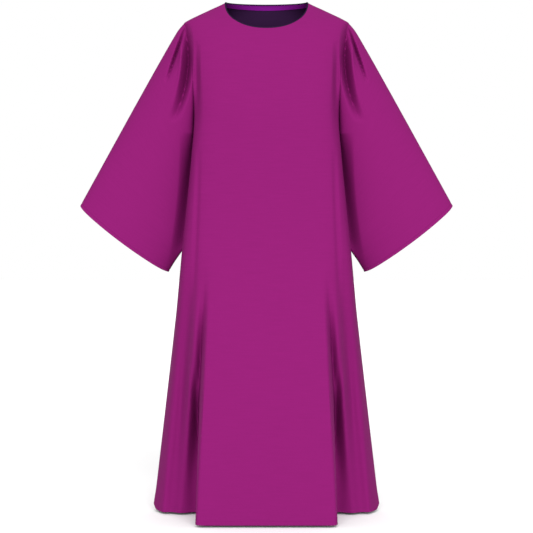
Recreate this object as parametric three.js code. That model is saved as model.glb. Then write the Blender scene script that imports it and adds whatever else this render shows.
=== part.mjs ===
// A dalmatic: a wide-sleeved vestment that slips over the head, filled out as it is when worn, with
// nothing inside it. Millimetres, +Z up, +X to the viewer's right, the front faces -Y. The origin lies in
// the middle of the neck opening, level with the neck ends of the shoulder seams, where the wearer's neck
// and shoulders carry the cloth.
import * as THREE from "three";

// Cloth, seams and trim
const CLOTH = 2;
const SEAM_GAP = 0.3;
const BINDING = { width: 3.6, height: 3.4, clear: 0.8 };
const FACING = { cloth: 1, clear: 0.7, from: 4.2, to: 17 };

// Neck opening, armhole and hem
const NECK = { half: 105, round: 2.2, frontDrop: 79, backRise: 3 };
const ARMHOLE = { top: -53, bottom: -322, depth: 72 };
const HEM = -1300;

// Level sections of the body, a row for each height. half: middle to side. front, back: how far the cloth
// stands before and behind Y 0. square: how boxy the section is, 2 being an ellipse.
const SECTIONS = [
  { z: 6, half: 98, front: 17, back: 58, square: 2 },
  { z: 0, half: 105, front: 22, back: 62, square: 2 },
  { z: -20, half: 145.5, front: 38, back: 68, square: 2.2 },
  { z: -45, half: 197, front: 58, back: 75, square: 2.5 },
  { z: -53, half: 213.5, front: 65, back: 78, square: 2.6 },
  { z: -80, half: 211, front: 85, back: 86, square: 2.9 },
  { z: -120, half: 205, front: 103, back: 97, square: 3.3 },
  { z: -200, half: 192, front: 123, back: 115, square: 4 },
  { z: -300, half: 183, front: 135, back: 124, square: 4.6 },
  { z: -400, half: 190, front: 138, back: 124, square: 5 },
  { z: -500, half: 199.5, front: 141, back: 123, square: 5 },
  { z: -640, half: 214, front: 149, back: 129, square: 5 },
  { z: -850, half: 238, front: 165, back: 146, square: 4.6 },
  { z: -1050, half: 262, front: 185, back: 166, square: 4.2 },
  { z: -1300, half: 292, front: 210, back: 196, square: 4 },
];

// The hem in plan, which the sections take on from FLARE_FROM down to the hem: the flat panel, the fold
// beside it and the wing that runs out to the side seam. share: how far along the half hem a point lies.
const FLARE_FROM = -600;
const FRONT_HEM = [
  { share: 0, x: 0, y: -210 },
  { share: 0.34, x: 143, y: -210 },
  { share: 0.4, x: 165, y: -206 },
  { share: 0.44, x: 175, y: -188 },
  { share: 0.49, x: 182, y: -125 },
  { share: 0.54, x: 190, y: -65 },
  { share: 0.6, x: 204, y: -39 },
  { share: 0.7, x: 229, y: -29 },
  { share: 0.82, x: 256, y: -15 },
  { share: 0.91, x: 275, y: 4 },
  { share: 1, x: 292, y: 45 },
];
const BACK_HEM = [
  { share: 0, x: 0, y: 200 },
  { share: 0.34, x: 132, y: 196 },
  { share: 0.42, x: 160, y: 182 },
  { share: 0.49, x: 177, y: 154 },
  { share: 0.56, x: 193, y: 125 },
  { share: 0.65, x: 216, y: 110 },
  { share: 0.78, x: 247, y: 101 },
  { share: 0.9, x: 275, y: 83 },
  { share: 1, x: 292, y: 45 },
];

// Soft folds, a row for each, on both halves. A trough runs down the front (face -1) or the back (face 1)
// through x0, x1 and x2 at its top, middle and bottom, is that wide to each side and that deep. open: it
// runs out through the hem.
const FOLDS = [
  { face: -1, top: -74, bottom: -214, x0: 212, x1: 226, x2: 252, width: 13, depth: 8, open: false },
  { face: -1, top: -84, bottom: -310, x0: 205, x1: 203, x2: 226, width: 20, depth: 18, open: false },
  { face: -1, top: -130, bottom: -390, x0: 188, x1: 172, x2: 184, width: 15, depth: 6, open: false },
  { face: -1, top: -700, bottom: -1300, x0: 148, x1: 168, x2: 203, width: 24, depth: 15, open: true },
  { face: -1, top: -520, bottom: -1300, x0: 176, x1: 204, x2: 240, width: 26, depth: 12, open: true },
  { face: 1, top: -80, bottom: -250, x0: 207, x1: 219, x2: 244, width: 18, depth: 12, open: false },
  { face: 1, top: -120, bottom: -430, x0: 188, x1: 174, x2: 186, width: 18, depth: 8, open: false },
  { face: 1, top: -430, bottom: -1300, x0: 96, x1: 84, x2: 70, width: 42, depth: 18, open: true },
  { face: 1, top: -620, bottom: -1300, x0: 172, x1: 192, x2: 224, width: 28, depth: 13, open: true },
];

// The sleeve at +X: the outer and inner corners of the cuff, how the underarm line runs down beside the
// body before it turns out to the cuff, how full the sleeve is along its length, and how its cuff is
// shaped.
const SLEEVE = {
  overarm: { x: 478, y: 0, z: -523 },
  underarm: { x: 252, y: 0, z: -692 },
  clear: 5,
  turnOut: 75,
  full: [72, 66, 58, 52],
  bulge: 5,
  cornerLift: 7,
  droop: 5,
  backLift: 5,
};

// Where the body's side gives way to the sleeve that hangs beside it: how far, and between which heights.
const TUCK = { depth: 12, from: -310, full: -390, least: -600, to: -730, front: -75, back: 10 };

// How finely each piece is cut
const COLUMNS = { neck: 10, shoulder: 3, armhole: 14 };
const ROWS = { yoke: 9, skirt: 13, sleeve: 14 };
const YOKE_END = { z: -370, neck: 82, shoulder: 124 };
const SECTION_STEPS = 60;

const vec = (x, y, z) => new THREE.Vector3(x, y, z);
const lerp = THREE.MathUtils.lerp;
const smooth = (x, from, to) => THREE.MathUtils.smoothstep(x, from, to);
const count = (n, make) => Array.from({ length: n }, (_, i) => make(i));

// A smooth curve through a table's rows that never overshoots them. key: the column that is looked up.
function readTable(table, key, at) {
  const down = table[0][key] > table[table.length - 1][key];
  const order = (row) => (down ? -row[key] : row[key]);
  const place = down ? -at : at;
  const next = table.findIndex((row) => order(row) > place);
  const i = next < 0 ? table.length - 2 : Math.max(next - 1, 0);
  const [a, b] = [table[i], table[i + 1]];
  const span = order(b) - order(a);
  const t = THREE.MathUtils.clamp((place - order(a)) / span, 0, 1);
  const rise = (k, name) => (table[k + 1][name] - table[k][name]) / (order(table[k + 1]) - order(table[k]));
  const slope = (k, name) => {
    if (k === 0 || k === table.length - 1) return rise(Math.min(k, table.length - 2), name);
    const [before, after] = [rise(k - 1, name), rise(k, name)];
    return before * after <= 0 ? 0 : (2 * before * after) / (before + after);
  };
  const result = {};
  for (const name of Object.keys(a)) {
    result[name] = hermite(a[name], slope(i, name) * span, b[name], slope(i + 1, name) * span, t);
  }
  return result;
}

function hermite(a, slopeA, b, slopeB, t) {
  const [t2, t3] = [t * t, t * t * t];
  return (2 * t3 - 3 * t2 + 1) * a + (t3 - 2 * t2 + t) * slopeA + (3 * t2 - 2 * t3) * b + (t3 - t2) * slopeB;
}

// The half section of one face at a height: its points from the middle to the side, and their length along
// the cloth.
const sections = new Map();
function sectionOf(face, z) {
  const key = `${face} ${z}`;
  if (!sections.has(key)) {
    const s = readTable(SECTIONS, "z", z);
    const depth = face < 0 ? -s.front : s.back;
    const points = count(SECTION_STEPS + 1, (i) => {
      const turn = (Math.PI / 2) * (i / SECTION_STEPS);
      return { x: s.half * Math.sin(turn) ** (2 / s.square), y: depth * Math.cos(turn) ** (2 / s.square) };
    });
    points[SECTION_STEPS] = { x: s.half, y: 0 };
    let length = 0;
    points.forEach((p, i) => {
      if (i) length += Math.hypot(p.x - points[i - 1].x, p.y - points[i - 1].y);
      p.length = length;
    });
    sections.set(key, points);
  }
  return sections.get(key);
}

// Where a section passes a value of x, y or length, by its distance along the cloth and its place.
function passOf(points, name, value) {
  const rising = Math.abs(points[0][name]) < Math.abs(points[SECTION_STEPS][name]);
  const past = (p) => (rising ? Math.abs(p[name]) >= value : Math.abs(p[name]) <= value);
  const i = points.findIndex(past);
  if (i <= 0) return i < 0 ? points[SECTION_STEPS] : points[0];
  const [a, b] = [points[i - 1], points[i]];
  const t = (value - Math.abs(a[name])) / (Math.abs(b[name]) - Math.abs(a[name]) || 1);
  return { x: lerp(a.x, b.x, t), y: lerp(a.y, b.y, t), length: lerp(a.length, b.length, t) };
}

// How far the soft folds press a point in, by its place alone, so that pieces that meet at a seam move
// together.
function pressFolds(face, p) {
  for (const fold of FOLDS) {
    const t = (p.z - fold.top) / (fold.bottom - fold.top);
    if (fold.face !== face || t <= 0 || t > 1) continue;
    const x = (1 - t) * (1 - 2 * t) * fold.x0 + 4 * t * (1 - t) * fold.x1 + t * (2 * t - 1) * fold.x2;
    const across = Math.min(Math.abs(Math.abs(p.x) - x) / fold.width, 1);
    const along = fold.open ? smooth(t, 0, 0.5) : Math.sin(Math.PI * t ** 0.8);
    const clear = fold.open ? 1 : smooth(Math.abs(p.y), 4, 45);
    p.y -= face * fold.depth * along * clear * 0.5 * (1 + Math.cos(Math.PI * across));
  }
  return p;
}

const tuckAt = (z) =>
  TUCK.depth * smooth(-z, -TUCK.from, -TUCK.full) * (1 - smooth(-z, -TUCK.least, -TUCK.to));

// A point of the body at a height and a distance along the cloth from the middle.
function bodyPoint(face, length, z) {
  const points = sectionOf(face, z);
  const all = points[SECTION_STEPS].length;
  const { x, y } = passOf(points, "length", Math.min(length, all));
  const flare = smooth(-z, -FLARE_FROM, -HEM);
  const hem = readTable(face < 0 ? FRONT_HEM : BACK_HEM, "share", Math.min(length / all, 1));
  const half = points[SECTION_STEPS].x;
  const tuck = tuckAt(z) * smooth(y, TUCK.front, TUCK.back) * (x / half) ** 8;
  const widest = SECTIONS[SECTIONS.length - 1].half;
  const narrow = lerp(1, half / widest, hem.x / widest);
  return vec(lerp(x, hem.x * narrow, flare) - tuck, lerp(y, hem.y, flare), z);
}

// The top edge of a panel's half, a place for each column: neckline, shoulder seam, armhole.
function topEdge(face) {
  const { neck, shoulder, armhole } = COLUMNS;
  const places = [];
  for (let k = 0; k < neck; k++) {
    const x = NECK.half * Math.sin((Math.PI / 2) * (1 - (1 - k / neck) ** 1.25));
    const fall = (1 - (x / NECK.half) ** NECK.round) ** (1 / NECK.round);
    const z = face < 0 ? -NECK.frontDrop * fall : NECK.backRise * fall;
    const foot = (YOKE_END.neck * k) / neck;
    places.push({ z, length: passOf(sectionOf(face, z), "x", x).length, foot, ease: 1.4 });
  }
  for (let k = 0; k < shoulder; k++) {
    const z = lerp(0, ARMHOLE.top, k / shoulder);
    const foot = lerp(YOKE_END.neck, YOKE_END.shoulder, k / shoulder);
    const length = sectionOf(face, z)[SECTION_STEPS].length;
    places.push({ z, length, foot, ease: lerp(1.4, 0.9, k / shoulder) });
  }
  const side = sectionOf(face, YOKE_END.z)[SECTION_STEPS].length;
  for (let k = 0; k <= armhole; k++) {
    const turn = (Math.PI * k) / armhole;
    const z = armholeHeight(turn);
    const pass = passOf(sectionOf(face, z), "y", ARMHOLE.depth * Math.sin(turn));
    const foot = lerp(YOKE_END.shoulder, side, k / armhole);
    const hug = k < armhole ? 1 - smooth(k / armhole, 0.2, 0.5) : 1;
    places.push({ z, length: pass.length, foot, ease: 0.8, hug });
  }
  return places;
}

// The length of cloth at a height from the middle out to the armhole, or to the side seam below it.
function room(face, z) {
  const height = (2 * z - ARMHOLE.top - ARMHOLE.bottom) / (ARMHOLE.top - ARMHOLE.bottom);
  return passOf(sectionOf(face, z), "y", ARMHOLE.depth * Math.sqrt(Math.max(1 - height * height, 0))).length;
}

const armholeHeight = (turn) => lerp(ARMHOLE.bottom, ARMHOLE.top, (1 + Math.cos(turn)) / 2);

// The armhole at a turn from the shoulder point, 0, to the underarm, PI.
function armholePoint(face, turn) {
  const z = armholeHeight(turn);
  return bodyPoint(face, passOf(sectionOf(face, z), "y", ARMHOLE.depth * Math.sin(turn)).length, z);
}

// A panel's points, a row at a time from its top edge to the hem, from the side at -X to the side at +X.
function panelGrid(face) {
  const top = topEdge(face);
  const side = sectionOf(face, YOKE_END.z)[SECTION_STEPS].length;
  const halfRow = (row) =>
    top.map(({ z, length, foot, ease, hug = 0 }) => {
      if (row <= ROWS.yoke) {
        const t = (row / ROWS.yoke) ** 1.6;
        const high = lerp(z, YOKE_END.z, t);
        const straight = lerp(length, foot, t ** ease);
        const beside = room(face, high) * lerp(1, foot / side, t);
        const mixed = lerp(straight, beside, hug * (1 - smooth(t, 0.15, 0.6)));
        return pressFolds(face, bodyPoint(face, mixed, high));
      }
      const down = lerp(YOKE_END.z, HEM, (row - ROWS.yoke) / ROWS.skirt);
      const share = Math.min(foot / side, 1);
      return pressFolds(face, bodyPoint(face, share * sectionOf(face, down)[SECTION_STEPS].length, down));
    });
  return count(ROWS.yoke + ROWS.skirt + 1, (row) => {
    const right = halfRow(row);
    const left = right.slice(1).map((p) => vec(-p.x, p.y, p.z));
    return [...left.reverse(), ...right];
  });
}

// The line on which the sleeve's underarm seam lies: down beside the body, then out to the cuff.
function underarmPoint(s) {
  const z = lerp(ARMHOLE.bottom, SLEEVE.underarm.z, s);
  const start = armholePoint(-1, Math.PI);
  const beside = readTable(SECTIONS, "z", z).half - tuckAt(z) + SLEEVE.clear * smooth(s, 0, 0.15);
  const { x, y, z: end } = SLEEVE.underarm;
  const turn = 1 - smooth(z, end, end + SLEEVE.turnOut);
  return vec(lerp(s === 0 ? start.x : beside, x, turn ** 1.5), lerp(0, y, s), z);
}

// The sleeve's rings, from the armhole to the cuff. Round a ring: shoulder point, front, underarm, back.
function sleeveGrid(side) {
  const n = COLUMNS.armhole;
  const places = [
    ...count(n, (k) => [-1, (Math.PI * k) / n]),
    ...count(n, (k) => [1, Math.PI * (1 - k / n)]),
  ];
  const shoulder = armholePoint(-1, 0);
  const cuff = vec(SLEEVE.overarm.x, SLEEVE.overarm.y, SLEEVE.overarm.z);
  const full = SLEEVE.full.map((depth, k) => ({ s: k / (SLEEVE.full.length - 1), depth }));
  const plain = (face, turn, s) => {
    const along = cuff.clone().sub(shoulder).normalize();
    const [over, under] = [shoulder.clone().lerp(cuff, s), underarmPoint(s)];
    over.add(vec(-along.z, 0, along.x).multiplyScalar(SLEEVE.bulge * Math.sin(Math.PI * Math.sqrt(s))));
    const p = over.clone().lerp(under, (1 - Math.cos(turn)) / 2);
    p.y += face * readTable(full, "s", s).depth * Math.sin(turn);
    const hang = (face > 0 ? SLEEVE.droop - SLEEVE.backLift : SLEEVE.droop) * Math.sin(turn) ** 2;
    const lift = SLEEVE.cornerLift * Math.cos(turn) ** 6 - hang;
    return p.addScaledVector(along, -lift * smooth(s, 0.7, 1) ** 2);
  };
  return count(ROWS.sleeve + 1, (row) => {
    const s = row / ROWS.sleeve;
    return places.map(([face, turn]) => {
      const p = plain(face, turn, s);
      p.addScaledVector(armholePoint(face, turn).sub(plain(face, turn, 0)), (1 - s) ** 2.5);
      pressFolds(face, p);
      p.x *= side;
      return p;
    });
  });
}

// Unit normals of a grid, facing out of the garment. A ring grid closes on itself.
function gridNormals(grid, ring, flip) {
  const [rows, columns] = [grid.length, grid[0].length];
  return grid.map((line, i) =>
    line.map((_, j) => {
      const left = ring ? (j + columns - 1) % columns : Math.max(j - 1, 0);
      const right = ring ? (j + 1) % columns : Math.min(j + 1, columns - 1);
      const across = line[right].clone().sub(line[left]);
      const down = grid[Math.min(i + 1, rows - 1)][j].clone().sub(grid[Math.max(i - 1, 0)][j]);
      return across.cross(down).normalize().multiplyScalar(flip);
    }),
  );
}

// Points that pieces share along a seam get one normal, so that the cut edges of the two walls stay
// parallel.
function shareNormals(pieces) {
  const seamKey = (p) => [p.x, p.y, p.z].map((value) => Math.round(value * 20)).join(" ");
  const sums = new Map();
  const each = (visit) => {
    for (const { grid, normals } of pieces) {
      grid.forEach((line, i) => line.forEach((p, j) => visit(p, normals[i][j])));
    }
  };
  each((p, n) => sums.set(seamKey(p), (sums.get(seamKey(p)) || vec(0, 0, 0)).add(n)));
  each((p, n) => n.copy(sums.get(seamKey(p))).normalize());
}

// The loops of grid places round a piece's cut edges.
function edgeLoops(grid, ring) {
  const [rows, columns] = [grid.length, grid[0].length];
  const across = (i) => count(columns, (j) => [i, j]);
  if (ring) return [across(0), across(rows - 1).reverse()];
  const down = (j) => count(rows - 2, (i) => [i + 1, j]);
  return [[...across(0), ...down(columns - 1), ...across(rows - 1).reverse(), ...down(0).reverse()]];
}

// Moves a piece's cut edges in along the cloth by half the seam gap.
function drawInEdges({ grid, normals, ring, flip }) {
  const moves = [];
  for (const loop of edgeLoops(grid, ring)) {
    loop.forEach(([i, j], k) => {
      const at = (step) => loop[(k + step + loop.length) % loop.length];
      const edge = (from, to) => grid[to[0]][to[1]].clone().sub(grid[from[0]][from[1]]);
      const inward = (line) => line.cross(normals[i][j]).normalize().multiplyScalar(-flip);
      const [a, b] = [inward(edge(at(-1), at(0))), inward(edge(at(0), at(1)))];
      moves.push([grid[i][j], a.clone().add(b).multiplyScalar(SEAM_GAP / 2 / Math.max(1 + a.dot(b), 0.6))]);
    });
  }
  moves.forEach(([p, move]) => p.add(move));
}

// A closed solid from its points and triangles, turned to face out.
function solid(points, faces) {
  let volume = 0;
  for (let k = 0; k < faces.length; k += 3) {
    volume += points[faces[k]].dot(points[faces[k + 1]].clone().cross(points[faces[k + 2]]));
  }
  if (volume < 0) faces.reverse();
  const geometry = new THREE.BufferGeometry();
  const numbers = points.flatMap((p) => [p.x, p.y, p.z]);
  geometry.setAttribute("position", new THREE.Float32BufferAttribute(numbers, 3));
  geometry.setIndex(faces);
  geometry.computeVertexNormals();
  return geometry;
}

// The wall of cloth between two grids of the same make.
function wall(outer, inner, ring) {
  const [rows, columns] = [outer.length, outer[0].length];
  const place = (layer, i, j) => (layer * rows + i) * columns + (j % columns);
  const faces = [];
  const quad = (a, b, c, d) => faces.push(a, b, c, a, c, d);
  const spans = ring ? columns : columns - 1;
  for (let j = 0; j < spans; j++) {
    for (let i = 0; i < rows - 1; i++) {
      quad(place(0, i, j), place(0, i + 1, j), place(0, i + 1, j + 1), place(0, i, j + 1));
      quad(place(1, i, j), place(1, i, j + 1), place(1, i + 1, j + 1), place(1, i + 1, j));
    }
    quad(place(0, 0, j), place(0, 0, j + 1), place(1, 0, j + 1), place(1, 0, j));
    quad(place(0, rows - 1, j), place(1, rows - 1, j), place(1, rows - 1, j + 1), place(0, rows - 1, j + 1));
  }
  for (let i = 0; i < rows - 1 && !ring; i++) {
    quad(place(0, i, 0), place(1, i, 0), place(1, i + 1, 0), place(0, i + 1, 0));
    quad(place(0, i, spans), place(0, i + 1, spans), place(1, i + 1, spans), place(1, i, spans));
  }
  return solid([...outer.flat(), ...inner.flat()], faces);
}

const sink = (grid, normals, depth) =>
  grid.map((line, i) => line.map((p, j) => p.clone().addScaledVector(normals[i][j], -depth)));

// A panel's columns at the neck: the middle of the wall's edge, its inner face down the column, and the
// ways up out of the neck edge and out of the cloth.
function neckEdge(face, { grid, normals }) {
  const middle = (grid[0].length - 1) / 2;
  const last = 2 * COLUMNS.neck;
  return count(last + 1, (k) => {
    const j = middle - COLUMNS.neck + k;
    const [before, after] = [Math.max(k - 1, 0), Math.min(k + 1, last)].map((m) => grid[0][m - k + j]);
    const along = after.clone().sub(before).normalize();
    const out = normals[0][j].clone();
    out.addScaledVector(along, -out.dot(along)).normalize();
    const rise = out.clone().cross(along).normalize().multiplyScalar(-face);
    const inner = count(4, (i) => grid[i][j].clone().addScaledVector(normals[i][j], -CLOTH));
    return { root: grid[0][j].clone().lerp(inner[0], 0.5), inner, rise, out };
  });
}

// The point at a distance down a run of points.
function downRun(points, distance) {
  let left = distance;
  for (let i = 1; i < points.length; i++) {
    const step = points[i - 1].distanceTo(points[i]);
    if (left <= step || i === points.length - 1) return points[i - 1].clone().lerp(points[i], left / step);
    left -= step;
  }
}

// The binding: a narrow strip folded up into a flat roll that closes the neck edge, one ring round front
// and back.
function bindingGeometry(front, back) {
  const [before, behind] = [neckEdge(-1, front), neckEdge(1, back).reverse()];
  for (const [a, b] of [[before[0], behind[behind.length - 1]], [before[before.length - 1], behind[0]]]) {
    for (const name of ["root", "rise", "out"]) a[name].add(b[name]).multiplyScalar(0.5);
    a.rise.normalize();
    a.out.normalize();
  }
  const loop = [...before, ...behind.slice(1, -1)];
  const [wide, low, high] = [BINDING.width / 2, BINDING.clear, BINDING.clear + BINDING.height];
  const outline = [
    [wide, low], [wide, lerp(low, high, 0.65)], [0.5 * wide, high],
    [-0.5 * wide, high], [-wide, lerp(low, high, 0.65)], [-wide, low],
  ];
  const points = loop.flatMap(({ root, rise, out }) =>
    outline.map(([side, up]) => root.clone().addScaledVector(out, side).addScaledVector(rise, up)),
  );
  const faces = [];
  loop.forEach((_, i) =>
    outline.forEach((_, j) => {
      const at = (a, b) => ((i + a) % loop.length) * outline.length + ((j + b) % outline.length);
      faces.push(at(0, 0), at(1, 0), at(1, 1), at(0, 0), at(1, 1), at(0, 1));
    }),
  );
  return solid(points, faces);
}

// The facing inside the back of the neck, from near one shoulder seam to near the other, just below the
// binding.
function facingGeometry(back) {
  const edge = neckEdge(1, back).slice(1, -1);
  const rows = count(4, (i) => lerp(FACING.from, FACING.to, i / 3));
  const layer = (depth) =>
    rows.map((down) =>
      edge.map(({ inner, rise, out }) => {
        const square = rise.dot(inner[0].clone().sub(inner[1]).normalize());
        return downRun(inner, down / Math.max(square, 0.5)).addScaledVector(out, -depth);
      }),
    );
  return wall(layer(FACING.clear), layer(FACING.clear + FACING.cloth), false);
}

const CLOTH_COLOUR = 0x9e237d;
const LINING_COLOUR = 0x741f7a;
const TRIM_COLOUR = 0x38204a;

function piece(name, geometry, color) {
  const mesh = new THREE.Mesh(geometry, new THREE.MeshStandardMaterial({ color, roughness: 0.85 }));
  mesh.name = name;
  return mesh;
}

const cloths = {
  front: { grid: panelGrid(-1), ring: false, flip: -1 },
  back: { grid: panelGrid(1), ring: false, flip: 1 },
  sleeve_left: { grid: sleeveGrid(-1), ring: true, flip: -1 },
  sleeve_right: { grid: sleeveGrid(1), ring: true, flip: 1 },
};
Object.values(cloths).forEach((cloth) => (cloth.normals = gridNormals(cloth.grid, cloth.ring, cloth.flip)));
shareNormals(Object.values(cloths));
Object.values(cloths).forEach(drawInEdges);

const dalmatic = new THREE.Group();
dalmatic.name = "dalmatic";
for (const [name, { grid, normals, ring }] of Object.entries(cloths)) {
  dalmatic.add(piece(name, wall(grid, sink(grid, normals, CLOTH), ring), CLOTH_COLOUR));
}
dalmatic.add(piece("neck_binding", bindingGeometry(cloths.front, cloths.back), TRIM_COLOUR));
dalmatic.add(piece("back_neck_facing", facingGeometry(cloths.back), LINING_COLOUR));

export default dalmatic;
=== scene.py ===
import math

import bpy
import numpy as np
from bpy.props import FloatProperty, FloatVectorProperty, PointerProperty
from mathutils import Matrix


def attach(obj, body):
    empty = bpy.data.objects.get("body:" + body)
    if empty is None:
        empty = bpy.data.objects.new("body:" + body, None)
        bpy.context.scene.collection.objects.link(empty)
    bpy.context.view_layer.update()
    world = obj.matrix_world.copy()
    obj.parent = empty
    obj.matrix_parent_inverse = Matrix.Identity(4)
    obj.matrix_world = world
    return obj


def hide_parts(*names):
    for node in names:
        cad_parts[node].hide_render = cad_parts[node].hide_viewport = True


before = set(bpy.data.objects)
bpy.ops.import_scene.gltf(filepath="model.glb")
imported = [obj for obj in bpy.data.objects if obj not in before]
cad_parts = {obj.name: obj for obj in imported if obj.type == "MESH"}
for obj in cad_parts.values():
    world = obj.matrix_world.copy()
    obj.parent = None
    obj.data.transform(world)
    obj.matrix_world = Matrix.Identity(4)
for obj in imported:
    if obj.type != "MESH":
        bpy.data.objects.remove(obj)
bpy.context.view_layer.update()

bl_info = {
    "name": "Dalmatic",
    "version": (1, 0, 0),
    "blender": (4, 5, 0),
    "location": "View3D > Sidebar > Dalmatic",
    "description": "A wide-sleeved vestment, filled out as it is when worn, in plain violet cloth",
    "category": "Add Mesh",
}

MM = 0.001

# The cut and the hang of the garment, in millimetres
# The front faces -Y, and the origin lies in the middle of the neck opening.

# The neck's edge: half its width, how round it is, and its height in the middle of the front (-1) and of
# the back (1).
NECK_HALF, NECK_ROUND = 105.0, 2.2
NECK_MIDDLE = {-1: -77.0, 1: 4.5}
ARMHOLE_TOP, ARMHOLE_BOTTOM, ARMHOLE_DEPTH = -53.0, -322.0, 72.0
HEM = -1300.0
# From this height down, the level sections turn into the hem's plan.
FLARE_FROM = -600.0


def table(columns, *rows):
    """Rows of numbers as one array for each named column."""
    return dict(zip(columns.split(), np.array(rows, float).T))


# Level sections of the body: half width, how far the cloth stands before and behind, and how boxy it is.
SECTIONS = table(
    "z half front back square",
    (6, 98, 17, 58, 2),
    (0, 105, 22, 62, 2),
    (-20, 145.5, 38, 68, 2.2),
    (-45, 197, 58, 75, 2.5),
    (-53, 213.5, 65, 78, 2.6),
    (-80, 211, 85, 86, 2.9),
    (-120, 205, 103, 97, 3.3),
    (-200, 192, 123, 115, 4),
    (-300, 183, 135, 124, 4.6),
    (-400, 190, 138, 124, 5),
    (-500, 199.5, 141, 123, 5),
    (-640, 214, 149, 129, 5),
    (-850, 238, 165, 146, 4.6),
    (-1050, 262, 185, 166, 4.2),
    (-1300, 292, 210, 196, 4),
)

# The hem in plan, by the share of the half hem: the flat panel, the fold beside it and the wing.
HEM_PLAN = {
    -1: table(
        "share x y",
        (0, 0, -210),
        (0.34, 143, -210),
        (0.4, 167, -208),
        (0.43, 173, -194),
        (0.49, 168, -125),
        (0.55, 164, -62),
        (0.59, 171, -30),
        (0.64, 187, -22),
        (0.7, 207, -27),
        (0.77, 233, -31),
        (0.85, 259, -22),
        (0.93, 278, 8),
        (1, 292, 45),
    ),
    1: table(
        "share x y",
        (0, 0, 200),
        (0.34, 132, 196),
        (0.42, 160, 182),
        (0.49, 177, 154),
        (0.56, 193, 125),
        (0.65, 216, 110),
        (0.78, 247, 101),
        (0.9, 275, 83),
        (1, 292, 45),
    ),
}

# Soft folds down the front (-1) and the back (1), alike on both halves. x0, x1 and x2 are their places at
# the top, middle and bottom. Each reaches width to either side. open is the share of the depth that a fold
# still has at its bottom: 1 where it runs out through the hem, and 0 where it dies out.
FOLDS = table(
    "face top bottom x0 x1 x2 width depth open",
    (-1, -74, -214, 212, 226, 252, 13, 8, 0),
    (-1, -130, -390, 188, 172, 184, 15, 6, 0),
    (-1, -520, -1300, 176, 204, 240, 26, 12, 1),
    (1, -80, -250, 207, 219, 244, 18, 12, 0),
    (1, -120, -430, 188, 174, 186, 18, 8, 0),
    (1, -430, -1300, 96, 84, 70, 42, 18, 1),
    (1, -620, -1300, 172, 192, 224, 28, 13, 1),
)

# Finer creases, placed where the photograph shows them. side is -1 or 1 for one side of the garment
# and 0 for both. sharp is 1 for a crease that is folded in to a line, and 0 for one that is rolled. skew
# makes a crease steeper towards the middle of the garment and gentler away from it. A depth under 0 is a
# ridge.
CREASES = table(
    "face side sharp skew top bottom x0 x1 x2 width depth open",
    (-1, 0, 1, 0, -58, -212, 204, 229, 254, 7, 22, 0),
    (-1, 0, 1, 0, -58, -312, 209, 201, 236, 18, 54, 0),
    (-1, 0, 0, 0, -110, -330, 177, 175, 180, 13, 12, 0),
    (-1, 0, 0, 0, -380, -800, 168, 174, 184, 10, 5, 0),
    (-1, 0, 1, 0.3, -680, -1300, 150, 167, 178, 21, 84, 0.07),
    (-1, 0, 0, 0, -680, -1300, 160, 189, 224, 28, -32, 0.1),
    (-1, -1, 0, 0, -96, -250, 221, 216, 236, 8, -3, 0),
    (-1, 1, 0, 0, -100, -236, 222, 217, 234, 8, -3.5, 0),
    (1, 0, 1, 0, -60, -240, 206, 221, 243, 7, 12, 0),
    (1, 0, 0, 0, -120, -330, 196, 200, 221, 9, 5, 0),
)

# The long trough in the front of each sleeve, where it hangs beside the body.
SLEEVE_FOLDS = table(
    "face sharp top bottom x0 x1 x2 width depth open",
    (-1, 1, -340, -760, 178, 190, 232, 42, 96, 0),
)

# The profile of a sharp crease: how blunt its line is, and how steeply its sides come down to it.
CREASE_BLUNT, CREASE_STEEP = 0.08, 1.6
# A fold that dies out is deepest a little above its middle. One that keeps part of its depth loses the rest
# between two shares of its length.
FOLD_RISE = 0.8
FOLD_FADE = (0.4, 0.95)
# Folds that die out fade away towards the side seams, over these distances from Y 0.
SIDE_CLEAR = (4, 45)

# Where the body's side gives way to the sleeve that hangs beside it: how far, between which heights, and
# between which y it sets in. TUCK_EDGE keeps it to the outer part of the side.
TUCK = {"depth": 12, "from": -310, "full": -390, "least": -600, "to": -730, "front": -75, "back": 10}
TUCK_EDGE = 8

# The sleeve at +X: the cuff's outer and inner corners, how far its underarm stands off the body and from
# which share of its length on, how high above the cuff the underarm turns out and how sharply, how far its
# upper edge bulges, and how full it is along its length. LEAVES_ARMHOLE is how fast it loses the armhole's
# own curve.
CUFF_OUTER = np.array([478.0, 0.0, -523.0])
CUFF_INNER = np.array([252.0, 0.0, -692.0])
SLEEVE_CLEAR, SLEEVE_CLEAR_BY = 5.0, 0.15
TURN_OUT, TURN_OUT_SHARP = 75.0, 1.3
SLEEVE_BULGE = 3.0
SLEEVE_FULL = table("s depth", (0, 72), (1 / 3, 66), (2 / 3, 58), (1, 52))
LEAVES_ARMHOLE = 2.5
# The cuff's edge: how far its corners are drawn back and how narrow they are, how far its front droops
# between them and how much less its back does, and from which share of the sleeve on.
CORNER_LIFT, CORNER_NARROW = 4.0, 12
CUFF_DROOP, BACK_LIFT = 7.0, 5.0
CUFF_SHAPED_FROM = 0.7
# About how far it is round a sleeve, for the run of its threads.
SLEEVE_GIRTH = 665.0

# The shoulder's point, how far it is rounded off and over what distance, and the shares of that inwards and
# downwards.
SHOULDER_POINT, SHOULDER_ROUND, SHOULDER_REACH = (213.5, -53.0), 3.0, 16.0
SHOULDER_IN, SHOULDER_DOWN = 0.6, 0.8

# The hem's corners at the side seams: how far they rise, from which share of the width on, and up to what
# height above the hem.
HEM_CORNER_RISE, HEM_CORNER_FROM, HEM_CORNER_HEIGHT = 12.0, 0.95, 60.0
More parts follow.
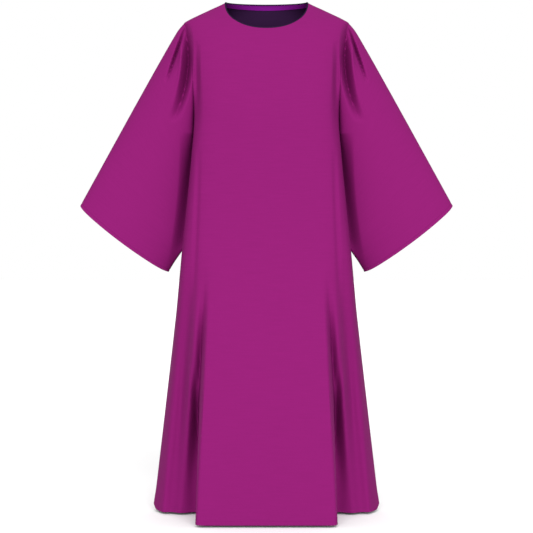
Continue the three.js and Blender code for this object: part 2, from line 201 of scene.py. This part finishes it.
# The stitching of the turned-up hems and cuffs: how far above the edge it runs, how far and how widely it
# draws the cloth in, and the share of that on the panels, where it hardly shows.
HEM_TURN, STITCH_DEPTH, STITCH_WIDTH, PANEL_STITCH = 8.0, 0.8, 1.1, 0.3

# How finely the cloth is drawn: the steps of a section, the columns of half a panel, how they crowd at the
# ends of the neck, how much more they give way near the armhole, and the rows of each stretch.
SECTION_STEPS = 160
PANEL_COLUMNS, NECK_CROWD, ARMHOLE_EASE = 92, 1.25, 3
SHOULDER_ROWS, ARMHOLE_ROWS, SKIRT_ROWS, SLEEVE_ROWS = 16, 108, 84, 150
# How far below the shoulders the rows that follow the neck's edge become level.
NECK_FADE = 250.0
# The even rows end this far above the stitching. Closer ones lie at these heights from it, and a last few
# run from a little below it to the edge.
EVEN_ROWS_END = 6.0
STITCH_ROWS = np.array([4, 2.5, 1.5, 0.8, 0.2, -0.5, -1.3, -2.5])
EDGE_ROWS, EDGE_ROWS_BELOW = 4, 3.5
# The rows of a panel that the pieces at the neck are laid along.
NECK_ROWS = 40
# Edges that turn by more than this many degrees look sharp.
SHARP_TURN = 50

# The binding: its sides round the roll, its thickness, how far down the cloth its way up is measured from,
# how far it is lifted off the edge and the share of its height that it sits down over it, how boxy it is,
# and how often the two panels' ways are evened out over the shoulder seams. The width of it that shows
# is in metres.
TAPE_SIDES, TAPE_THICK, TAPE_FOOT = 14, 0.9, 3.0
TAPE_LIFT, TAPE_SINK, TAPE_SQUARE, TAPE_EASING = 0.2, 0.2, 0.8, 3

# The facing: how far below the neck's edge it begins and ends, its thickness, its gap to the cloth, its
# rows, and how many columns short of the shoulder seams it stops.
FACING_REACH, FACING_THICK, FACING_CLEAR = (1.5, 15.0), 0.9, 0.3
FACING_ROWS, FACING_SHORT = 8, 3

# The stage, in metres and degrees. The key light is tilted from straight above, and spreads as a large soft
# light does.
FLOOR, FLOOR_REACH, FLOOR_ROUGH = -1.3065, 60.0, 0.9
CAMERA_PLACE, CAMERA_LENS, CAMERA_SENSOR = (0, -3.7, -0.675), 97.7, 36
KEY_TILT, KEY_TURN, KEY_SPREAD = 66, 2, 50

# Wool, viscose and cotton fibres bend light about this much. In a matt dyed cloth they mirror hardly any of
# it, and their loose ends catch it softly.
FIBRE_IOR, FIBRE_GLOSS, FUZZ_ROUGH = 1.53, 0.05, 0.45
# The real threads, about 0.35 mm apart, are far too fine to show. They are drawn as ribs this far apart, in
# metres.
THREADS_DRAWN = 0.0024
# Slubs, the thick places of the yarn: metres long and thick, and the part of the noise that shades them.
CLOTH_SLUB, TAPE_SLUB = (0.06, 0.0032), (0.002, 0.006)
SLUB_FROM, SLUB_TO = 0.34, 0.66


def smooth(x, low, high):
    """Rises softly from 0 at low to 1 at high."""
    t = np.clip((np.asarray(x, float) - low) / (high - low), 0, 1)
    return t * t * (3 - 2 * t)


def mix(a, b, t):
    return a + (b - a) * t


def unit(vectors):
    return vectors / np.maximum(np.linalg.norm(vectors, axis=-1, keepdims=True), 1e-9)


def read_table(rows, key, at):
    """A smooth curve through a table's rows that never overshoots them."""
    down = rows[key][0] > rows[key][-1]
    place = -rows[key] if down else rows[key]
    at = -np.asarray(at, float) if down else np.asarray(at, float)
    i = np.clip(np.searchsorted(place, at, side="left") - 1, 0, len(place) - 2)
    span = place[i + 1] - place[i]
    t = np.clip((at - place[i]) / span, 0, 1)
    t2, t3 = t * t, t * t * t
    out = {}
    for name, value in rows.items():
        rise = np.diff(value) / np.diff(place)
        slope = np.empty(len(value))
        slope[0], slope[-1] = rise[0], rise[-1]
        before, after = rise[:-1], rise[1:]
        same = before * after > 0
        slope[1:-1] = np.where(same, 2 * before * after / np.where(same, before + after, 1), 0)
        from_row = (2 * t3 - 3 * t2 + 1) * value[i] + (t3 - 2 * t2 + t) * slope[i] * span
        to_row = (3 * t2 - 2 * t3) * value[i + 1] + (t3 - t2) * slope[i + 1] * span
        out[name] = from_row + to_row
    return out


def sections(face, z):
    """For each height: the half section's x, y and length along the cloth, from the middle to the side."""
    s = read_table(SECTIONS, "z", np.atleast_1d(z))
    turn = np.linspace(0, math.pi / 2, SECTION_STEPS + 1)[None, :]
    power = 2 / s["square"][:, None]
    x = s["half"][:, None] * np.sin(turn) ** power
    depth = (-s["front"] if face < 0 else s["back"])[:, None]
    y = depth * np.abs(np.cos(turn)) ** power
    y[:, -1] = 0
    steps = np.hypot(np.diff(x, axis=1), np.diff(y, axis=1))
    length = np.concatenate([np.zeros((len(x), 1)), np.cumsum(steps, axis=1)], axis=1)
    return x, y, length


def length_at(face, z, name, value):
    """How far along the cloth the sections at some heights pass values of x, or of how far y is from 0."""
    x, y, length = sections(face, z)
    run = x if name == "x" else -np.abs(y)
    value = np.broadcast_to(value if name == "x" else -np.asarray(value, float), len(run))
    rows = np.arange(len(run))
    i = np.clip((run < value[:, None]).sum(axis=1), 1, SECTION_STEPS)
    before, after = run[rows, i - 1], run[rows, i]
    t = np.clip((value - before) / np.maximum(after - before, 1e-9), 0, 1)
    return mix(length[rows, i - 1], length[rows, i], t)


def girth(face, z):
    """The length of the half sections, from the middle to the side."""
    return sections(face, z)[2][:, -1]


def tuck_at(z):
    """How far the body's side gives way to the sleeve at some heights."""
    sets_in = smooth(-z, -TUCK["from"], -TUCK["full"])
    dies_out = smooth(-z, -TUCK["least"], -TUCK["to"])
    return TUCK["depth"] * sets_in * (1 - dies_out)


def body_points(face, length, z):
    """Points of the body at distances along the cloth from the middle, and heights."""
    xs, ys, lengths = sections(face, z)
    total = lengths[:, -1]
    length = np.minimum(length, total)
    rows = np.arange(len(z))
    i = np.clip((lengths < length[:, None]).sum(axis=1), 1, SECTION_STEPS)
    before, after = lengths[rows, i - 1], lengths[rows, i]
    t = (length - before) / np.maximum(after - before, 1e-9)
    x = mix(xs[rows, i - 1], xs[rows, i], t)
    y = mix(ys[rows, i - 1], ys[rows, i], t)
    flare = smooth(-z, -FLARE_FROM, -HEM)
    hem = read_table(HEM_PLAN[face], "share", np.clip(length / total, 0, 1))
    half, widest = xs[:, -1], SECTIONS["half"][-1]
    tuck = tuck_at(z) * smooth(y, TUCK["front"], TUCK["back"]) * (x / half) ** TUCK_EDGE
    narrow = mix(1, half / widest, hem["x"] / widest)
    return np.stack([mix(x, hem["x"] * narrow, flare) - tuck, mix(y, hem["y"], flare), z], axis=-1)


def fold_depth(remains, t):
    """The share of a fold's depth from its top, 0, to its bottom, 1, where some of it remains or none."""
    if remains == 0:
        return np.sin(math.pi * t**FOLD_RISE)
    return smooth(t, 0, 0.5) * (1 - (1 - remains) * smooth(t, *FOLD_FADE))


def fold_profile(sharp, across):
    """The share of a fold's depth from its line, 0, out to its side, 1."""
    if not sharp:
        return 0.5 * (1 + np.cos(math.pi * across))
    pointed = 1 - np.hypot(across, CREASE_BLUNT) / np.hypot(1, CREASE_BLUNT)
    return pointed**CREASE_STEEP


def press_folds(face, points, rows, much=1.0):
    """Presses folds into points, by their place alone, so that pieces that meet move together."""
    for k in range(len(rows["face"])):
        fold = {name: column[k] for name, column in rows.items()}
        if fold["face"] != face:
            continue
        t = (points[..., 2] - fold["top"]) / (fold["bottom"] - fold["top"])
        inside = (t > 0) & (t <= 1 + 1e-9)
        if fold.get("side"):
            inside &= points[..., 0] * fold["side"] > 0
        t = np.clip(t, 0, 1)
        at_top, at_middle, at_bottom = (1 - t) * (1 - 2 * t), 4 * t * (1 - t), t * (2 * t - 1)
        line = at_top * fold["x0"] + at_middle * fold["x1"] + at_bottom * fold["x2"]
        off = np.abs(points[..., 0]) - line
        width = fold["width"] * (1 + fold.get("skew", 0) * np.sign(off))
        shape = fold_profile(fold.get("sharp"), np.minimum(np.abs(off) / width, 1))
        clear = 1 if fold["open"] else smooth(np.abs(points[..., 1]), *SIDE_CLEAR)
        push = much * fold["depth"] * fold_depth(fold["open"], t) * clear * shape
        points[..., 1] -= face * np.where(inside, push, 0)
    return points


def round_shoulder(points):
    """Eases the point of the shoulder, on the panels and the sleeves alike."""
    out, above = np.abs(points[..., 0]) - SHOULDER_POINT[0], points[..., 2] - SHOULDER_POINT[1]
    ease = SHOULDER_ROUND * np.exp(-(out**2 + above**2) / SHOULDER_REACH**2)
    points[..., 0] -= SHOULDER_IN * ease * np.sign(points[..., 0])
    points[..., 2] -= SHOULDER_DOWN * ease
    return points


def armhole_height(turn):
    return mix(ARMHOLE_BOTTOM, ARMHOLE_TOP, (1 + np.cos(turn)) / 2)


def armhole_points(face, turn):
    """The armhole's edge at turns from the shoulder point, 0, to the underarm, pi."""
    z = armhole_height(turn)
    return body_points(face, length_at(face, z, "y", ARMHOLE_DEPTH * np.sin(turn)), z)


def gone_to_armhole(face, z):
    """How much shorter the cloth is, from the middle out, where the armhole has been cut from it."""
    height = (2 * z - ARMHOLE_TOP - ARMHOLE_BOTTOM) / (ARMHOLE_TOP - ARMHOLE_BOTTOM)
    depth = ARMHOLE_DEPTH * np.sqrt(np.maximum(1 - height * height, 0))
    return np.where(np.abs(height) < 1, girth(face, z) - length_at(face, z, "y", depth), 0)


def hem_rows():
    """Heights above a hem's edge where the cloth's rows lie closely, about its line of stitching."""
    return np.concatenate([HEM_TURN + STITCH_ROWS, np.linspace(HEM_TURN - EDGE_ROWS_BELOW, 0, EDGE_ROWS)])


def stitch_groove(above):
    """How far each row is drawn in by the line of stitching that holds the turned-up hem."""
    return STITCH_DEPTH * np.exp(-(((above - HEM_TURN) / STITCH_WIDTH) ** 2))


def grain_of(across, down):
    """The cloth's own coordinates, from how far its columns lie across it and its rows down it."""
    return np.stack(np.broadcast_arrays(across[None, :], down[:, None]), axis=-1)


def panel_grid(face, creasing):
    """A panel's points, row by row from the neck's edge to the hem, with the cloth's own coordinates.

    Each row ends on the shoulder seam, the armhole or the side seam, where the next piece has a point."""
    armhole = armhole_height(math.pi * np.arange(ARMHOLE_ROWS + 1) / ARMHOLE_ROWS)
    level = np.concatenate(
        [
            np.linspace(0, ARMHOLE_TOP, SHOULDER_ROWS, endpoint=False),
            armhole,
            np.linspace(ARMHOLE_BOTTOM, HEM + HEM_TURN + EVEN_ROWS_END, SKIRT_ROWS)[1:],
            HEM + hem_rows(),
        ]
    )
    u = np.linspace(0, 1, PANEL_COLUMNS + 1)
    x = NECK_HALF * np.sin(math.pi / 2 * (1 - (1 - u) ** NECK_CROWD))
    neck = NECK_MIDDLE[face] * (1 - np.minimum(x / NECK_HALF, 1) ** NECK_ROUND) ** (1 / NECK_ROUND)
    even = smooth(-level, 0, NECK_FADE)[:, None]
    z = level[:, None] + neck * (1 - even)
    at_neck = length_at(face, z[0], "x", x) / girth(face, z[0])
    at_neck[-1] = 1
    share = mix(at_neck, u, even)
    whole, cut = (f(face, z.ravel()).reshape(z.shape) for f in (girth, gone_to_armhole))
    length = share * whole - cut * share**ARMHOLE_EASE
    points = body_points(face, length.ravel(), z.ravel()).reshape(*z.shape, 3)
    corner = np.clip((share - HEM_CORNER_FROM) / (1 - HEM_CORNER_FROM), 0, 1) ** 2
    points[..., 2] += HEM_CORNER_RISE * corner * (1 - smooth(z - HEM, 0, HEM_CORNER_HEIGHT))
    points = np.concatenate([points[:, :0:-1] * np.array([-1, 1, 1]), points], axis=1)
    points = press_folds(face, press_folds(face, points, FOLDS), CREASES, creasing)
    grain = np.stack([length, z], axis=-1)
    grain = np.concatenate([grain[:, :0:-1] * np.array([-1, 1]), grain], axis=1)
    return round_shoulder(points), grain, PANEL_STITCH * stitch_groove(level - HEM)


def underarm_points(s):
    """The line of the sleeve's underarm seam: down beside the body, then out to the cuff."""
    z = mix(ARMHOLE_BOTTOM, CUFF_INNER[2], s)
    stands_off = SLEEVE_CLEAR * smooth(s, 0, SLEEVE_CLEAR_BY)
    beside = read_table(SECTIONS, "z", z)["half"] - tuck_at(z) + stands_off
    turn = np.clip((CUFF_INNER[2] + TURN_OUT - z) / TURN_OUT, 0, 1)
    return np.stack([mix(beside, CUFF_INNER[0], turn**TURN_OUT_SHARP), 0 * z, z], axis=-1)


def sleeve_grid(side, creasing):
    """The sleeve's rings from the armhole to the cuff, each from the shoulder by the front to the back."""
    around = ARMHOLE_ROWS
    k = np.arange(around) / around
    turns = np.concatenate([math.pi * k, math.pi * (1 - k)])
    faces = np.concatenate([-np.ones(around), np.ones(around)])
    front = faces < 0
    start = np.concatenate([armhole_points(-1, turns[front]), armhole_points(1, turns[~front])])
    shoulder = start[0]
    long = np.linalg.norm(CUFF_OUTER - shoulder)
    even = np.linspace(0, 1 - (HEM_TURN + EVEN_ROWS_END) / long, SLEEVE_ROWS)
    s = np.concatenate([even, 1 - hem_rows() / long])[:, None]
    along = (CUFF_OUTER - shoulder) / long
    over = shoulder + s * (CUFF_OUTER - shoulder)
    over = over + np.array([-along[2], 0, along[0]]) * SLEEVE_BULGE * np.sin(math.pi * np.sqrt(s))
    under = underarm_points(s[:, 0])
    share = ((1 - np.cos(turns)) / 2)[None, :, None]
    points = mix(over[:, None, :], under[:, None, :], share)
    depth = read_table(SLEEVE_FULL, "s", s[:, 0])["depth"][:, None]
    points[..., 1] += faces * depth * np.sin(turns)
    droop = np.where(front, CUFF_DROOP, CUFF_DROOP - BACK_LIFT) * np.sin(turns) ** 2
    drawn_back = CORNER_LIFT * np.cos(turns) ** CORNER_NARROW - droop
    points -= (drawn_back * smooth(s, CUFF_SHAPED_FROM, 1) ** 2)[..., None] * along
    points += ((1 - s) ** LEAVES_ARMHOLE)[..., None] * (start - points[0])[None]
    points[..., 0] *= side
    for face in (-1, 1):
        part = press_folds(face, press_folds(face, points[:, faces == face], FOLDS), SLEEVE_FOLDS)
        points[:, faces == face] = round_shoulder(press_folds(face, part, CREASES, creasing))
    grain = grain_of(np.arange(2 * around) / (2 * around) * SLEEVE_GIRTH, -long * s[:, 0])
    return points, grain, stitch_groove((1 - s[:, 0]) * long)


def neck_run(face, creasing, reach):
    """A panel's points and outward normals at distances down its cloth from the neck, column by column."""
    grid, _, _ = panel_grid(face, creasing)
    runs, ways = grid[:NECK_ROWS], normals_of(grid, False, face)[:NECK_ROWS]
    steps = np.linalg.norm(np.diff(runs, axis=0), axis=-1)
    gone = np.concatenate([np.zeros((1, steps.shape[1])), np.cumsum(steps, axis=0)])
    points = np.empty((len(reach), runs.shape[1], 3))
    normals = np.empty_like(points)
    for j in range(runs.shape[1]):
        for k in range(3):
            points[:, j, k] = np.interp(reach, gone[:, j], runs[:, j, k])
            normals[:, j, k] = np.interp(reach, gone[:, j], ways[:, j, k])
    return points, unit(normals)


def evened(line):
    """A closed line of points, each drawn towards its two neighbours."""
    return np.roll(line, 1, axis=0) / 4 + line / 2 + np.roll(line, -1, axis=0) / 4


def run_along(line):
    """How far along a line of points each one lies."""
    return np.concatenate([[0], np.cumsum(np.linalg.norm(np.diff(line, axis=0), axis=1))])


# Meshes


def normals_of(grid, ring, outward):
    """Unit normals of a grid. outward is 1 or -1, and turns them out of the garment."""
    g = np.concatenate([grid, grid[:, :1]], axis=1) if ring else grid
    cell = np.cross(g[:-1, 1:] - g[1:, :-1], g[1:, 1:] - g[:-1, :-1]) * outward
    n = np.zeros_like(g)
    for i in (slice(None, -1), slice(1, None)):
        for j in (slice(None, -1), slice(1, None)):
            n[i, j] += cell
    if ring:
        n[:, 0] += n[:, -1]
        n = n[:, :-1]
    return unit(n)


def cloth_shell(name, grid, grain, groove, thickness, ring, outward, outside, inside):
    """A closed wall between a grid and its copy one thickness in, with a material for each face."""
    normals = normals_of(grid, ring, outward)
    outer = grid - normals * groove[:, None, None]
    inner = outer - normals * thickness
    rows, columns = grid.shape[:2]
    points = np.concatenate([outer.reshape(-1, 3), inner.reshape(-1, 3)])
    to_inner = rows * columns
    here = np.arange(columns if ring else columns - 1)
    beside = (here + 1) % columns
    row = np.arange(rows - 1)[:, None] * columns
    cells = [row + here, row + columns + here, row + columns + beside, row + beside]
    outer_faces = np.stack(cells, axis=-1).reshape(-1, 4)
    inner_faces = outer_faces[:, ::-1] + to_inner
    last = (rows - 1) * columns
    rims = [
        [here, beside, beside + to_inner, here + to_inner],
        [last + here, last + here + to_inner, last + beside + to_inner, last + beside],
    ]
    if not ring:
        left = row[:, 0]
        right = left + columns - 1
        rims.append([left, left + to_inner, left + columns + to_inner, left + columns])
        rims.append([right, right + columns, right + columns + to_inner, right + to_inner])
    faces = np.concatenate([outer_faces, inner_faces, *(np.stack(rim, axis=-1) for rim in rims)])
    if outward > 0:
        faces = faces[:, ::-1]
    index = np.zeros(len(faces), np.int32)
    index[len(outer_faces) : 2 * len(outer_faces)] = 1
    grains = np.concatenate([grain.reshape(-1, 2)] * 2)
    return mesh_object(name, points, faces, grains, [outside, inside], index)


def mesh_object(name, points, faces, grain, materials, index=None):
    """A smooth mesh from points and the cloth's own coordinates in millimetres."""
    mesh = bpy.data.meshes.new(name)
    mesh.from_pydata((points * MM).tolist(), [], faces.tolist())
    for material in materials:
        mesh.materials.append(material)
    if index is not None:
        mesh.polygons.foreach_set("material_index", index)
    mesh.polygons.foreach_set("use_smooth", np.ones(len(faces), bool))
    corner = np.empty(len(mesh.loops), np.int32)
    mesh.loops.foreach_get("vertex_index", corner)
    layer = mesh.uv_layers.new(name="grain")
    layer.uv.foreach_set("vector", (grain[corner] * MM).astype(np.float32).ravel())
    mesh.set_sharp_from_angle(angle=math.radians(SHARP_TURN))
    mesh.update()
    obj = bpy.data.objects.new(name, mesh)
    bpy.context.scene.collection.objects.link(obj)
    return obj


# Materials


def linear(colour):
    """An sRGB hex value as linear red, green and blue."""
    shares = [int(colour[i : i + 2], 16) / 255 for i in (1, 3, 5)]
    return tuple(c / 12.92 if c <= 0.04045 else ((c + 0.055) / 1.055) ** 2.4 for c in shares)


def shade_of(colour, much=1.0):
    """A linear colour with its alpha, darker where much is under 1."""
    return (*(c * much for c in colour), 1)


def add_node(material, kind, links=(), **values):
    """Adds a node. Names of inputs or settings take values, and links are (input, other node, output)."""
    node = material.node_tree.nodes.new(kind)
    for name, value in values.items():
        label = name.replace("_", " ")
        if label in node.inputs:
            node.inputs[label].default_value = value
        else:
            setattr(node, name, value)
    for name, other, output in links:
        material.node_tree.links.new(other.outputs[output], node.inputs[name])
    return node


def cloth_colour(material, grain, colour, depth, along, across):
    """A plain weave's colour: its shade wanders in slubs, along metres long and across metres thick."""
    stretch = add_node(
        material, "ShaderNodeMapping", [("Vector", grain, "UV")], Scale=(1 / along, 1 / across, 1)
    )
    slubs = add_node(
        material, "ShaderNodeTexNoise", [("Vector", stretch, "Vector")],
        Scale=1.0, Detail=2.0, Roughness=0.5,
    )
    shade = add_node(material, "ShaderNodeValToRGB", [("Fac", slubs, "Fac")])
    low, high = shade.color_ramp.elements
    low.position, high.position = SLUB_FROM, SLUB_TO
    low.color, high.color = shade_of(colour, 1 - depth), shade_of(colour, 1 + depth)
    return slubs, shade


def weave(name, colour, depth, roughness, sheen, weave_height, slub=CLOTH_SLUB):
    """A plain-woven cloth of smooth yarn. depth is how far its slubs are from its colour."""
    if name in bpy.data.materials:
        return bpy.data.materials[name]
    material = bpy.data.materials.new(name)
    material.use_nodes = True
    shader = material.node_tree.nodes["Principled BSDF"]
    shader.inputs["Roughness"].default_value = roughness
    shader.inputs["IOR"].default_value = FIBRE_IOR
    shader.inputs["Specular IOR Level"].default_value = FIBRE_GLOSS
    shader.inputs["Sheen Weight"].default_value = sheen
    shader.inputs["Sheen Roughness"].default_value = FUZZ_ROUGH
    shader.inputs["Sheen Tint"].default_value = shade_of(colour)
    grain = add_node(material, "ShaderNodeUVMap", uv_map="grain")
    slubs, shade = cloth_colour(material, grain, colour, depth, *slub)
    ribs = add_node(
        material, "ShaderNodeTexNoise", [("Vector", grain, "UV")], Scale=1 / THREADS_DRAWN, Detail=1.0
    )
    both = add_node(material, "ShaderNodeMath", [(0, ribs, "Fac"), (1, slubs, "Fac")], operation="ADD")
    bump = add_node(
        material, "ShaderNodeBump", [("Height", both, "Value")], Strength=1.0, Distance=weave_height
    )
    links = material.node_tree.links
    links.new(shade.outputs["Color"], shader.inputs["Base Color"])
    links.new(bump.outputs["Normal"], shader.inputs["Normal"])
    return material


# Settings
# The cloth's colours are darker than they look. The bright surroundings and the key light together give
# cloth that faces front about 2.6 times the light that the surroundings alone would give.


class DalmaticCloth(bpy.types.PropertyGroup):
    """The vestment's cloth"""

    thickness: FloatProperty(
        name="Thickness", description="Thickness of the cloth", default=0.0018, min=0.001, max=0.003,
        subtype="DISTANCE", unit="LENGTH",
    )
    creasing: FloatProperty(
        name="Creasing", description="Depth of the finer creases", default=1.0, min=0.0, max=1.5,
        subtype="FACTOR",
    )
    colour: FloatVectorProperty(
        name="Colour", description="Colour of the cloth", size=3, min=0, max=1, subtype="COLOR",
        default=linear("#660F4F"),
    )
    # The inner face's violet is darkened beyond the cloth's own: painted shade for the inside of the
    # garment.
    inside: FloatVectorProperty(
        name="Inside", description="Colour of the cloth's inner face", size=3, min=0, max=1,
        subtype="COLOR", default=linear("#240D2C"),
    )


class DalmaticTrim(bpy.types.PropertyGroup):
    """The binding and the facing at the neck"""

    height: FloatProperty(
        name="Binding", description="Height of the binding over the neck's edge", default=0.0034, min=0.002,
        max=0.006, subtype="DISTANCE", unit="LENGTH",
    )
    binding: FloatVectorProperty(
        name="Binding colour", description="Colour of the tape round the neck", size=3, min=0, max=1,
        subtype="COLOR", default=linear("#1C1026"),
    )
    facing: FloatVectorProperty(
        name="Facing colour", description="Colour of the strip inside the back of the neck", size=3, min=0,
        max=1, subtype="COLOR", default=linear("#640A6C"),
    )


class DalmaticStage(bpy.types.PropertyGroup):
    """The floor and the light"""

    floor: FloatVectorProperty(
        name="Floor colour", description="Colour of the floor", size=3, min=0, max=1, subtype="COLOR",
        default=linear("#E2E2E2"),
    )
    key: FloatProperty(
        name="Key light", description="Strength of the large soft light before the garment", default=4.75,
        min=0, max=10,
    )
    sky: FloatProperty(
        name="Surrounding light", description="Strength of the even light from all round", default=1.0,
        min=0, max=5,
    )


# Operators


def declare(obj, node):
    """Hangs a piece from the root and hides the imported part that it stands for."""
    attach(obj, "root")
    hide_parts(node)


def cloth_materials():
    cloth = bpy.context.scene.dalmatic_cloth
    # Plain-woven wool and viscose, piece-dyed: matt, with a faint bloom and slight slubs across the piece.
    outside = weave(
        "plain_weave", cloth.colour, depth=0.022, roughness=0.85, sheen=0.04, weave_height=0.0001
    )
    # The cloth's inner face, a closer and smoother violet weave, almost even. Its colour is darkened well
    # below the cloth's own as painted shade for the inside of the garment.
    inside = weave(
        "inner_face_painted_shade_weave", cloth.inside, depth=0.03, roughness=0.8, sheen=0.02, weave_height=0.00008
    )
    return outside, inside


def sew_piece(node, grid, grain, groove, ring, outward):
    """Makes one of the garment's large pieces of its cloth."""
    thickness = bpy.context.scene.dalmatic_cloth.thickness / MM
    outside, inside = cloth_materials()
    obj = cloth_shell(f"{node}_cloth", grid, grain, groove, thickness, ring, outward, outside, inside)
    declare(obj, node)


class DALMATIC_OT_panels(bpy.types.Operator):
    """Sews the front and the back, from the shoulders and the neck's edge down to the hem"""

    bl_idname = "dalmatic.panels"
    bl_label = "Front and back"

    def execute(self, context):
        for face, node in ((-1, "front"), (1, "back")):
            grid, grain, groove = panel_grid(face, context.scene.dalmatic_cloth.creasing)
            sew_piece(node, grid, grain, groove, False, face)
        return {"FINISHED"}


class DALMATIC_OT_sleeves(bpy.types.Operator):
    """Sets the two wide sleeves into the armholes"""

    bl_idname = "dalmatic.sleeves"
    bl_label = "Sleeves"

    def execute(self, context):
        for side, node in ((-1, "sleeve_left"), (1, "sleeve_right")):
            grid, grain, groove = sleeve_grid(side, context.scene.dalmatic_cloth.creasing)
            sew_piece(node, grid, grain, groove, True, side)
        return {"FINISHED"}


class DALMATIC_OT_binding(bpy.types.Operator):
    """Binds the neck's raw edge with a narrow tape"""

    bl_idname = "dalmatic.binding"
    bl_label = "Neck binding"

    def execute(self, context):
        cloth, trim = context.scene.dalmatic_cloth, context.scene.dalmatic_trim
        reach = np.array([0.0, TAPE_FOOT])
        front, front_out = neck_run(-1, cloth.creasing, reach)
        back, back_out = neck_run(1, cloth.creasing, reach)
        edge = np.concatenate([front[0], back[0, -2:0:-1]])
        foot = np.concatenate([front[1], back[1, -2:0:-1]])
        out = np.concatenate([front_out[0], back_out[0, -2:0:-1]])
        for _ in range(TAPE_EASING):
            foot, out = evened(foot), evened(out)
        up = unit(edge - foot)
        out = unit(out - (out * up).sum(axis=1, keepdims=True) * up)
        half, high = cloth.thickness / MM / 2, trim.height / MM
        centre = edge - out * half + up * TAPE_LIFT
        turns = np.arange(TAPE_SIDES) / TAPE_SIDES * 2 * math.pi
        wide = (half + TAPE_THICK) * np.sign(np.cos(turns)) * np.abs(np.cos(turns)) ** TAPE_SQUARE
        rise = high * (np.sin(turns) / 2 - TAPE_SINK)
        grid = centre[None] + out[None] * wide[:, None, None] + up[None] * rise[:, None, None]
        count = len(edge)
        here = np.arange(TAPE_SIDES)[:, None] * count + np.arange(count)
        beside = np.roll(here, -1, axis=1)
        cells = [here, beside, np.roll(beside, -1, axis=0), np.roll(here, -1, axis=0)]
        faces = np.stack(cells, axis=-1).reshape(-1, 4)
        grain = grain_of(run_along(edge), turns * 2)
        # Bias tape of violet-black plain cotton: matt, with a fine rib.
        tape = weave(
            "cotton_bias_tape", trim.binding, depth=0.06, roughness=0.9, sheen=0.0, weave_height=0.00006,
            slub=TAPE_SLUB,
        )
        obj = mesh_object("neck_binding_tape", grid.reshape(-1, 3), faces, grain.reshape(-1, 2), [tape])
        declare(obj, "neck_binding")
        return {"FINISHED"}


class DALMATIC_OT_facing(bpy.types.Operator):
    """Faces the inside of the back of the neck with a strip of violet cloth"""

    bl_idname = "dalmatic.facing"
    bl_label = "Back neck facing"

    def execute(self, context):
        cloth, trim = context.scene.dalmatic_cloth, context.scene.dalmatic_trim
        reach = np.linspace(*FACING_REACH, FACING_ROWS)
        points, out = neck_run(1, cloth.creasing, reach)
        between = slice(FACING_SHORT, -FACING_SHORT)
        grid = points[:, between] - out[:, between] * (cloth.thickness / MM + FACING_CLEAR)
        grain = grain_of(run_along(grid[0]), -reach)
        # Violet satin-faced cotton, a little smoother than the inside of the cloth and brighter than it,
        # whose colour carries painted shade.
        facing = weave(
            "facing_satin", trim.facing, depth=0.03, roughness=0.75, sheen=0.04, weave_height=0.00008
        )
        obj = cloth_shell(
            "neck_facing_cloth", grid, grain, 0 * reach, FACING_THICK, False, 1, facing, facing
        )
        declare(obj, "back_neck_facing")
        return {"FINISHED"}


class DALMATIC_OT_stage(bpy.types.Operator):
    """Lays a pale floor, lights it softly and sets up the camera"""

    bl_idname = "dalmatic.stage"
    bl_label = "Stage and camera"

    def execute(self, context):
        stage = context.scene.dalmatic_stage
        scene = context.scene
        mesh = bpy.data.meshes.new("floor")
        signs = ((-1, -1), (1, -1), (1, 1), (-1, 1))
        corners = [(x * FLOOR_REACH, y * FLOOR_REACH, FLOOR) for x, y in signs]
        mesh.from_pydata(corners, [], [(0, 1, 2, 3)])
        floor = bpy.data.objects.new("floor", mesh)
        scene.collection.objects.link(floor)
        pale = bpy.data.materials.new("pale_floor")
        pale.use_nodes = True
        shader = pale.node_tree.nodes["Principled BSDF"]
        shader.inputs["Base Color"].default_value = shade_of(stage.floor)
        shader.inputs["Roughness"].default_value = FLOOR_ROUGH
        mesh.materials.append(pale)
        world = bpy.data.worlds.new("studio")
        world.use_nodes = True
        sky = world.node_tree.nodes["Background"]
        sky.inputs["Color"].default_value = (1, 1, 1, 1)
        sky.inputs["Strength"].default_value = stage.sky
        scene.world = world
        key = bpy.data.lights.new("key", "SUN")
        key.energy = stage.key
        key.angle = math.radians(KEY_SPREAD)
        lamp = bpy.data.objects.new("key", key)
        lamp.rotation_euler = (math.radians(KEY_TILT), 0, math.radians(KEY_TURN))
        scene.collection.objects.link(lamp)
        lens = bpy.data.cameras.new("camera")
        lens.sensor_width, lens.lens = CAMERA_SENSOR, CAMERA_LENS
        camera = bpy.data.objects.new("camera", lens)
        camera.location = CAMERA_PLACE
        camera.rotation_euler = (math.radians(90), 0, 0)
        scene.collection.objects.link(camera)
        scene.camera = camera
        scene.view_settings.view_transform = "Standard"
        return {"FINISHED"}


class DALMATIC_PT_panel(bpy.types.Panel):
    """The sizes, colours and pieces of the dalmatic"""

    bl_idname = "DALMATIC_PT_panel"
    bl_label = "Dalmatic"
    bl_space_type = "VIEW_3D"
    bl_region_type = "UI"
    bl_category = "Dalmatic"

    def draw(self, context):
        for group, operators in GROUPS:
            box = self.layout.box()
            settings = getattr(context.scene, group)
            for name in settings.__annotations__:
                box.prop(settings, name)
            for operator in operators:
                box.operator(operator.bl_idname)


GROUPS = (
    ("dalmatic_cloth", (DALMATIC_OT_panels, DALMATIC_OT_sleeves)),
    ("dalmatic_trim", (DALMATIC_OT_binding, DALMATIC_OT_facing)),
    ("dalmatic_stage", (DALMATIC_OT_stage,)),
)
SETTINGS = (DalmaticCloth, DalmaticTrim, DalmaticStage)
OPERATORS = tuple(operator for _, operators in GROUPS for operator in operators)
CLASSES = (*SETTINGS, *OPERATORS, DALMATIC_PT_panel)


def register():
    for cls in CLASSES:
        bpy.utils.register_class(cls)
    for (name, _), settings in zip(GROUPS, SETTINGS):
        setattr(bpy.types.Scene, name, PointerProperty(type=settings))


def unregister():
    for name, _ in GROUPS:
        delattr(bpy.types.Scene, name)
    for cls in reversed(CLASSES):
        bpy.utils.unregister_class(cls)


def main():
    register()
    for operator in OPERATORS:
        area, verb = operator.bl_idname.split(".")
        getattr(getattr(bpy.ops, area), verb)()


if __name__ == "__main__":
    main()
